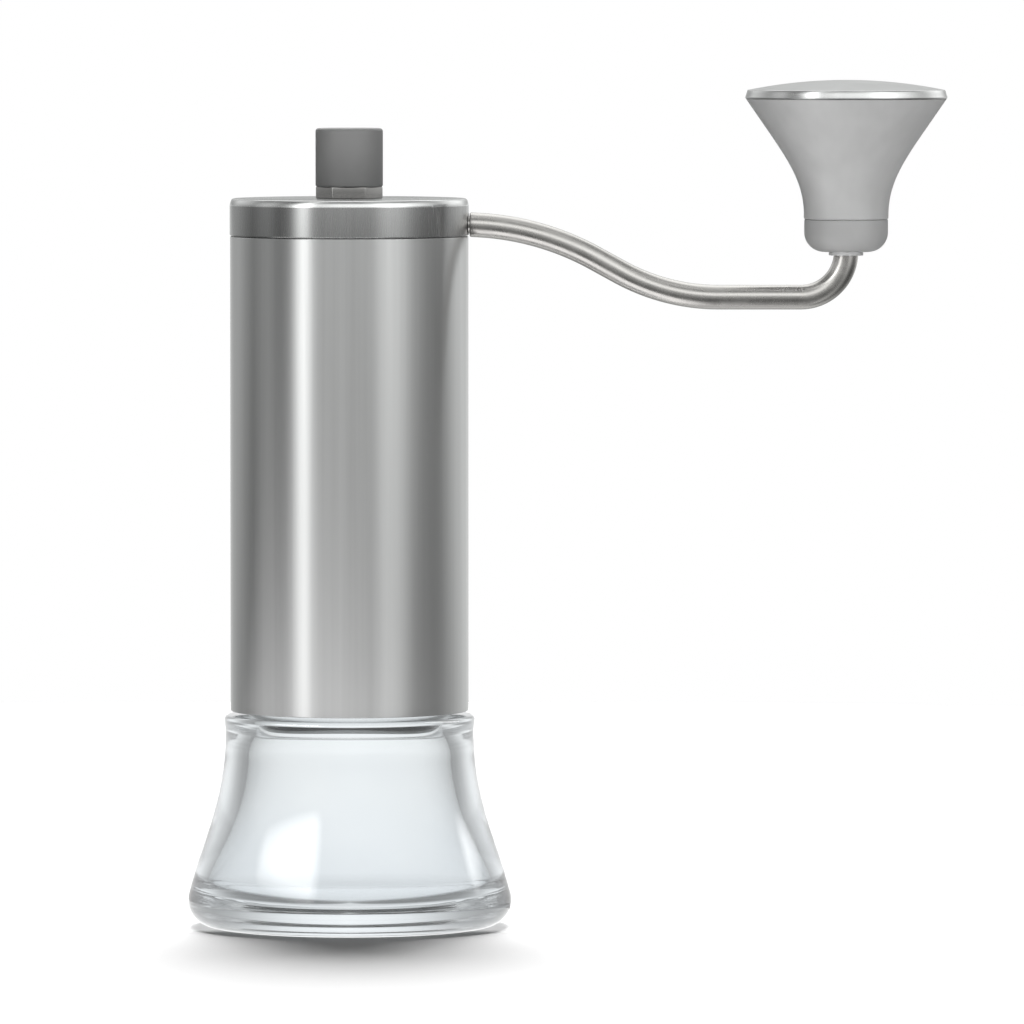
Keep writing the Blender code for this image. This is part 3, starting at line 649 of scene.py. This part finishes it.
def make_arm(material):
    """The bar, with its turned-down spigot in the lid and a chamfered end in the grip."""
    edge = BAR_START_X
    level_part = (
        # x and size, from the spigot's chamfered end to the bar's rounded shoulder
        (6.0, SPIGOT_R - 0.3), (6.3, SPIGOT_R), (edge - 0.05, SPIGOT_R), (edge, BAR_R - 0.35),
        (edge + 0.1, BAR_R - 0.1), (edge + 0.35, BAR_R))
    route = [((x, 0.0, ARM_HIGH), size) for x, size in level_part]
    route += [(point, BAR_R) for point in arm_route()]
    route += [((GRIP_X, 0.0, ARM_END_Z - 0.4), BAR_R), ((GRIP_X, 0.0, ARM_END_Z), BAR_R - 0.4)]
    mesh = sweep_mesh("arm_bar", route, 48)
    tapped_hole = cylinder_mesh(
        "arm_hole", TAPPED_HOLE_R, ARM_END_Z - 7.5, ARM_END_Z + 5, COARSE)
    tapped_hole.transform(Matrix.Translation((GRIP_X * MM, 0, 0)))
    mesh = combine(mesh, [tapped_hole], "DIFFERENCE")
    new_piece("arm_bar", mesh, "crank", ["crank_arm"], material, 30)


# ---------------------------------------------------------------- grip

def make_ferrule(material):
    top_z = GRIP_SPLIT + HALF_JOINT
    profile = [(GRIP_BORE_R, top_z), (GRIP_NECK_R - 0.3, top_z), (GRIP_NECK_R - 0.1, top_z - 0.2)]
    round_r = FERRULE_ROUND_R
    profile += arc(GRIP_NECK_R - 0.1 - round_r, GRIP_LOW + round_r, round_r, 0, -90, 16)
    profile += [(GRIP_BORE_R, GRIP_LOW)]
    mesh = lathe_mesh("grip_band", profile, MEDIUM, axis_x=GRIP_X)
    new_piece("grip_band", mesh, "grip", ["grip_ferrule"], material)


def make_trumpet(material):
    top_z = high("grip_body")
    low_z = low("grip_body") - HALF_JOINT
    outer = bezier(
        ((TRUMPET_RIM_R, top_z), (15.5, 188.5), (10.6, 183.0), (GRIP_NECK_R, 174.0)), 40)
    inner = [(r - TRUMPET_WALL, z + 0.6) for r, z in outer if z > TRUMPET_FLOOR_Z + 2]
    profile = outer + [(GRIP_NECK_R, low_z + 0.2), (GRIP_NECK_R - 0.2, low_z)]
    profile += [(GRIP_BORE_R, low_z), (GRIP_BORE_R, TRUMPET_FLOOR_Z), (9.6, TRUMPET_FLOOR_Z)]
    profile += list(reversed(inner[1:])) + [(TRUMPET_RIM_R - TRUMPET_WALL, top_z)]
    mesh = lathe_mesh("grip_trumpet", profile, FINE, axis_x=GRIP_X)
    new_piece("grip_trumpet", mesh, "grip", ["grip_body"], material)


CAP_RIM = (
    # how far in from the rim and its height
    (0.72, 203.8), (0.58, 203.72), (0.47, 203.5), (0.3, 202.95), (0.14, 202.4), (0.04, 202.1),
    (0.0, 202.0))


def make_cap(material, edge_material):
    """A shallow dome with a polished rim, and the ring below it that fits in the trumpet."""
    edge_r = GRIP_RIM_R - 0.9
    edge_z = 203.82
    spigot_r = 20.2
    spigot_z = 200.0
    inner_r = 18.4
    rise = GRIP_HIGH - edge_z
    dome_r = (edge_r ** 2 + rise ** 2) / (2 * rise)
    centre_z = GRIP_HIGH - dome_r
    edge_angle = math.degrees(math.acos(edge_r / dome_r))
    profile = arc(0.0, centre_z, dome_r, 90, edge_angle, 24)
    profile[0] = (0.0, GRIP_HIGH)
    profile += [(GRIP_RIM_R - inward, z) for inward, z in CAP_RIM]
    low_z = high("grip_body") + 0.08
    profile += [(24.5, low_z), (spigot_r, low_z), (spigot_r, spigot_z + 0.3)]
    profile += [(spigot_r - 0.3, spigot_z), (inner_r, spigot_z), (inner_r, 202.8), (0.0, 203.2)]
    mesh = lathe_mesh("grip_dome", profile, FINE, closed=False, axis_x=GRIP_X)
    cap = new_piece("grip_dome", mesh, "grip", ["grip_cap"], material)
    polish_edge(cap, edge_material, 201.9, edge_z, GRIP_RIM_R - 0.95, GRIP_X)


def make_grip_bush(material):
    bore_r = BAR_R + 0.3
    outer_r = GRIP_BORE_R - 0.3
    low_z = low("grip_lower_bush")
    high_z = high("grip_lower_bush")
    profile = [(bore_r, high_z), (outer_r, high_z), (outer_r, low_z), (bore_r, low_z)]
    mesh = lathe_mesh("grip_bush_ring", eased(profile, 0.3), MEDIUM, axis_x=GRIP_X)
    new_piece("grip_bush_ring", mesh, "grip", ["grip_lower_bush"], material)


# ---------------------------------------------------------------- hidden pieces

def finish_hidden_nodes(materials):
    """Give every CAD node that still shows its own procedural material."""
    slots = {entry["node"]: entry["material_slot"] for entry in frame["record"]["subparts"]}
    for name, node in frame["nodes"].items():
        node.data.materials.clear()
        node.data.materials.append(materials[slots[name]])


# ---------------------------------------------------------------- studio

STUDIO_RING = (
    # direction round the mill in degrees (0 is towards the camera, + to its right), brightness
    (-180, 0.96), (-150, 0.56), (-128, 0.40), (-108, 0.21), (-96, 0.32), (-88, 0.36),
    (-80, 0.30), (-73, 0.17), (-66, 0.21), (-58, 0.38), (-52, 1.15), (-47, 2.0),
    (-42, 1.75), (-36, 0.52), (-28, 0.37), (0, 0.35), (18, 0.34), (27, 0.45),
    (36, 0.79), (48, 0.81), (58, 0.56), (68, 0.31), (78, 0.21), (95, 0.24),
    (106, 0.34), (120, 0.58), (147, 0.86), (180, 0.96))
STUDIO_HEIGHT = (
    # sine of the height above the horizon, brightness
    (-1.0, 0.85), (-0.85, 0.80), (-0.62, 0.42), (-0.35, 0.40), (-0.2, 0.70), (-0.09, 0.97),
    (0.0, 1.0), (0.12, 1.2), (0.27, 1.9), (0.45, 1.8), (0.6, 1.1), (0.8, 0.7), (1.0, 0.7))
SOFTBOXES = (
    # from, to (degrees round), from, to (sine of height), brightness
    (-84, -22, 0.36, 0.74, 8.0),
    (102, 134, 0.20, 0.85, 6.0),
)
BACKDROP_RING = (
    # degrees away from the camera's side (180 is straight behind), brightness
    (0, 0.7), (50, 0.55), (80, 0.38), (115, 0.3), (135, 0.33), (146, 0.45),
    (156, 0.66), (164, 0.84), (172, 0.95), (180, 1.0))
BACKDROP_HEIGHT = (
    # sine of the height above the horizon, brightness
    (-1.0, 0.8), (-0.6, 0.84), (-0.3, 0.89), (-0.1, 0.95), (0.1, 1.02), (0.5, 1.0), (1.0, 0.85))
TABLE_GLOW = (
    # centre x and y, radius, brightness
    (-65.0, -60.0, 140.0, 1.4),
    (80.0, 5.0, 52.0, 0.6),
)
FRONT_BOX = 0.8               # brightness added by the softbox above the camera
TOP_BOX = 0.3                 # brightness added by the softbox straight above
BACK_BOX = 0.8                # brightness added by the softbox above and behind
BACK_SHADE = -0.5             # what a dark panel behind takes away, as a share
FRONT_FILL = 7.0              # light from the camera's side on the table and the painted parts
SIDE_FILL = 0.4
ROOM_FILL = 0.11
PAINTED_FOOT_GLOW = 0.45             # painted light on the table at each side of the jar's foot, standing in for light that glass lets through
KEY_LIGHTS = (
    # degrees above the table, how wide it looks from the mill in degrees, strength
    (30, 34, 2.3),
    (62, 28, 3.4),
)


def number(tree, operation, first, second=0.0, third=0.0):
    """One sum in a node tree, of numbers or of other nodes' values."""
    node = tree.nodes.new("ShaderNodeMath")
    node.operation = operation
    for socket, value in zip(node.inputs, (first, second, third)):
        if isinstance(value, (int, float)):
            socket.default_value = value
        else:
            tree.links.new(value, socket)
    return node.outputs["Value"]


def table(tree, value, stops, start, end, full):
    """A curve of brightness, from stops given in the value's own units."""
    placed = number(tree, "DIVIDE", number(tree, "SUBTRACT", value, start), end - start)
    node = tree.nodes.new("ShaderNodeValToRGB")
    ramp = node.color_ramp
    for i, (where, level) in enumerate(stops):
        position = (where - start) / (end - start)
        stop = ramp.elements[i] if i < 2 else ramp.elements.new(position)
        stop.position = position
        stop.color = (level / full, level / full, level / full, 1)
    tree.links.new(placed, node.inputs["Fac"])
    return number(tree, "MULTIPLY", node.outputs["Color"], full)


def band(tree, value, start, end, soft):
    """1 between two values, falling softly to 0 outside them."""
    rising = number(tree, "DIVIDE", number(tree, "SUBTRACT", value, start), soft)
    falling = number(tree, "DIVIDE", number(tree, "SUBTRACT", end, value), soft)
    inside = number(tree, "MINIMUM", rising, falling)
    return number(tree, "MAXIMUM", number(tree, "MINIMUM", inside, 1.0), 0.0)


def patch(tree, across, across_limits, up, up_limits):
    """1 inside a soft-edged patch; each direction's limits are start, end and softness."""
    return number(tree, "MULTIPLY", band(tree, across, *across_limits), band(tree, up, *up_limits))


def make_studio():
    """What each kind of ray sees: a white picture, a ring of softboxes, a backlit room."""
    world = bpy.data.worlds.new("studio")
    bpy.context.scene.world = world
    world.use_nodes = True
    world.cycles.sampling_method = "NONE"
    tree = world.node_tree
    tree.nodes.clear()
    direction = tree.nodes.new("ShaderNodeTexCoord").outputs["Generated"]
    parts = tree.nodes.new("ShaderNodeSeparateXYZ")
    tree.links.new(direction, parts.inputs["Vector"])
    x, y, z = (parts.outputs[axis] for axis in "XYZ")
    towards_camera = number(tree, "MULTIPLY", y, -1.0)
    turned = number(tree, "ARCTAN2", x, towards_camera)
    round_mill = number(tree, "MULTIPLY", turned, 180 / math.pi)
    away = number(tree, "ABSOLUTE", round_mill)

    # what polished and brushed metal mirrors
    ring = table(tree, round_mill, STUDIO_RING, -180, 180, 2.0)
    height = table(tree, z, STUDIO_HEIGHT, -1, 1, 2.0)
    mirrored = number(tree, "MULTIPLY", ring, height)
    behind = patch(tree, away, (140, 400, 15), z, (0.02, 0.6, 0.03))
    shade = number(tree, "MULTIPLY_ADD", behind, BACK_SHADE, 1.0)
    mirrored = number(tree, "MULTIPLY", mirrored, shade)
    high_front = patch(tree, round_mill, (-45, 105, 30), z, (0.24, 0.72, 0.1))
    high_back = patch(tree, away, (125, 400, 20), z, (0.55, 0.98, 0.1))
    overhead = band(tree, z, 0.82, 2.0, 0.12)
    for box, level in ((high_front, FRONT_BOX), (overhead, TOP_BOX), (high_back, BACK_BOX)):
        mirrored = number(tree, "MULTIPLY_ADD", box, level, mirrored)

    # what shows in the glass's outer face
    boxes = 0.9
    for left, right, bottom, top, level in SOFTBOXES:
        box = patch(tree, round_mill, (left, right, 9), z, (bottom, top, 0.09))
        boxes = number(tree, "MAXIMUM", number(tree, "MULTIPLY", box, level), boxes)

    # what shows through the glass
    seen_through = number(
        tree, "MULTIPLY", table(tree, away, BACKDROP_RING, 0, 180, 2.0),
        table(tree, z, BACKDROP_HEIGHT, -1, 1, 2.0))

    # what lights the table and the plastics
    low_down = band(tree, z, -0.75, 0.2, 0.2)
    in_front = number(tree, "MULTIPLY", band(tree, round_mill, -20, 20, 16), FRONT_FILL)
    on_right = number(tree, "MULTIPLY", band(tree, round_mill, 50, 140, 30), SIDE_FILL)
    beside = number(tree, "MULTIPLY", number(tree, "MAXIMUM", in_front, on_right), low_down)
    room = number(tree, "ADD", beside, ROOM_FILL)

    path = tree.nodes.new("ShaderNodeLightPath")
    for flag, level, tint in (
            ("Is Glossy Ray", mirrored, (0.985, 1.0, 0.99)),
            ("Is Singular Ray", boxes, (1.0, 1.0, 1.0)),
            ("Is Transmission Ray", seen_through, (0.945, 0.982, 0.995)),
            ("Is Camera Ray", 1.0, (1.0, 1.0, 1.0))):
        coloured = tree.nodes.new("ShaderNodeVectorMath")
        coloured.operation = "SCALE"
        coloured.inputs[0].default_value = tint
        mix = tree.nodes.new("ShaderNodeMix")
        mix.data_type = "VECTOR"
        tree.links.new(path.outputs[flag], mix.inputs["Factor"])
        if isinstance(level, float):
            coloured.inputs["Scale"].default_value = level
        else:
            tree.links.new(level, coloured.inputs["Scale"])
        before, after = mix.inputs[4], mix.inputs[5]
        tree.links.new(room, before)
        tree.links.new(coloured.outputs["Vector"], after)
        room = mix.outputs[1]
    background = tree.nodes.new("ShaderNodeBackground")
    tree.links.new(room, background.inputs["Color"])
    output = tree.nodes.new("ShaderNodeOutputWorld")
    tree.links.new(background.outputs["Background"], output.inputs["Surface"])


def make_key_lights():
    """Two soft lights behind and above, which throw one short shadow forwards on the table."""
    for height, width, strength in KEY_LIGHTS:
        data = bpy.data.lights.new(f"key_{height}", "SUN")
        data.energy = strength
        data.angle = math.radians(width)
        key = bpy.data.objects.new(f"key_{height}", data)
        bpy.context.scene.collection.objects.link(key)
        key.rotation_euler = (math.radians(height - 90), 0.0, 0.0)
        key.visible_glossy = False
        key.visible_transmission = False
        key.visible_camera = False


def make_floor():
    """A plain white table top, which the metal doesn't mirror.

    It glows faintly with painted light at each side of the jar's foot, standing in for the light
    that real glass lets through.
    """
    mesh = bpy.data.meshes.new("floor")
    body = bmesh.new()
    bmesh.ops.create_circle(body, cap_ends=True, segments=96, radius=0.8)
    body.to_mesh(mesh)
    body.free()
    floor = bpy.data.objects.new("floor", mesh)
    bpy.context.scene.collection.objects.link(floor)
    shader = Shader("floor_white").set(Roughness=0.9)
    shader.set(Specular_IOR_Level=0.0)
    tone = shader.noise(shader.place((0.004, 0.004, 0.004)), detail=1.0)
    shader.paint(tone, grey(0.86), grey(0.87))
    parts = shader.node("ShaderNodeSeparateXYZ")
    shader.link(shader.place((1.0, 1.0, 1.0)), parts.inputs["Vector"])
    aside = number(shader.tree, "ABSOLUTE", parts.outputs["X"])
    # painted light: an emission patch on the table at each side of the jar's foot
    glow = patch(shader.tree, aside, (22, 60, 12), parts.outputs["Y"], (-20, 30, 8))
    shader.set(Emission_Color=(1, 1, 1, 1))
    shader.link(number(shader.tree, "MULTIPLY", glow, PAINTED_FOOT_GLOW), "Emission Strength")
    mesh.materials.append(shader.material)
    floor.location.z = -0.1 * MM
    floor.visible_glossy = False
    floor.visible_diffuse = False
    floor.visible_transmission = False


def make_table_glow():
    """The pale table round the foot as only the metal sees it, brighter low down on the mill."""
    for i, (x, y, size, level) in enumerate(TABLE_GLOW):
        mesh = bpy.data.meshes.new(f"table_glow_{i}")
        body = bmesh.new()
        bmesh.ops.create_circle(body, cap_ends=True, segments=64, radius=size * MM)
        body.to_mesh(mesh)
        body.free()
        glow = bpy.data.objects.new(f"table_glow_{i}", mesh)
        bpy.context.scene.collection.objects.link(glow)
        shader = Shader(f"glow_white_{i}").set(Specular_IOR_Level=0.0)
        shader.set(Base_Color=(0, 0, 0, 1), Emission_Color=(1, 1, 1, 1))
        tone = shader.noise(shader.place((0.004, 0.004, 0.004)), detail=1.0)
        shader.link(shader.ramp(tone, level * 0.97, level * 1.03), "Emission Strength")
        mesh.materials.append(shader.material)
        glow.location = Vector((x, y, -0.05 - 0.02 * i)) * MM
        glow.visible_camera = False
        glow.visible_diffuse = False
        glow.visible_transmission = False
        glow.visible_shadow = False


def make_camera():
    """A long lens a little above the table, looking along +Y, and how light is followed.

    The thick glass needs many bounces: with the usual number its foot turns black.
    """
    target = Vector((39.6, 0.0, 101.0)) * MM
    distance = 2.6
    tilt = math.radians(2.9)
    field = 249.5 * MM
    data = bpy.data.cameras.new("camera")
    data.sensor_width = 36.0
    data.lens = data.sensor_width * distance / field
    data.clip_end = 20.0
    camera = bpy.data.objects.new("camera", data)
    bpy.context.scene.collection.objects.link(camera)
    camera.location = target + Vector((0.0, -math.cos(tilt), math.sin(tilt))) * distance
    camera.rotation_euler = (math.radians(90) - tilt, 0.0, 0.0)
    bpy.context.scene.camera = camera
    bpy.context.scene.cycles.max_bounces = 32
    bpy.context.scene.cycles.glossy_bounces = 32
    bpy.context.scene.cycles.transmission_bounces = 32
    bpy.context.scene.view_settings.view_transform = "Standard"
    bpy.context.scene.view_settings.look = "None"


# ---------------------------------------------------------------- the whole scene

def make_materials():
    """The record's slots by name, and three finishes that single pieces have of their own."""
    return {
        "clear_glass": clear_glass("glass_clear"),
        "brushed_tube": brushed_steel("steel_tube", 0.60),
        # the lid is the tube's brushed steel at a darker tone: painted shade for the dimmer light
        # at the top of the mill
        "brushed_lid": brushed_steel("steel_lid", 0.39, rough=0.27, depth=0.001),
        "satin_knob": satin_metal("metal_knob", 0.31, 0.6, metallic=0.2),
        "polished_bar": polished_metal("metal_bar", 0.62, 0.27, warm=0.03),
        "collar": polished_metal("metal_collar", 0.42, 0.2, warm=0.02),
        "polished_edge": satin_metal("metal_edge", 0.70, 0.20),
        "satin_grip": satin_metal("metal_grip", 0.66, 0.62, metallic=0.3),
        "ferrule": satin_metal("metal_ferrule", 0.55, 0.62, metallic=0.3),
        "grip_cap_metal": satin_metal("metal_cap", 0.52, 0.36),
        "plain_steel": satin_metal("metal_plain", 0.55, 0.30, grain=3.0),
        "dark_plastic": moulded_plastic("plastic_dark", (0.045, 0.045, 0.047), 0.45),
        "black_plastic": moulded_plastic("plastic_black", (0.02, 0.02, 0.02), 0.4),
        "seal_rubber": silicone("silicone_seal"),
        "burr_ceramic": fired_ceramic("ceramic_burr"),
        "bush_bronze": satin_metal("metal_bronze", 0.5, 0.35, warm=0.3),
    }


def make_object():
    materials = make_materials()
    finish_hidden_nodes(materials)
    make_jar(materials["clear_glass"])
    make_tube(materials["brushed_tube"])
    make_liner(materials["dark_plastic"])
    make_lid(materials["brushed_lid"], materials["polished_edge"])
    make_collar(materials["collar"])
    make_knob(materials["satin_knob"])
    make_arm(materials["polished_bar"])
    make_ferrule(materials["ferrule"])
    make_trumpet(materials["satin_grip"])
    make_cap(materials["grip_cap_metal"], materials["polished_edge"])
    make_grip_bush(materials["satin_grip"])


make_camera()
make_studio()
make_key_lights()
make_floor()
make_table_glow()
make_object()
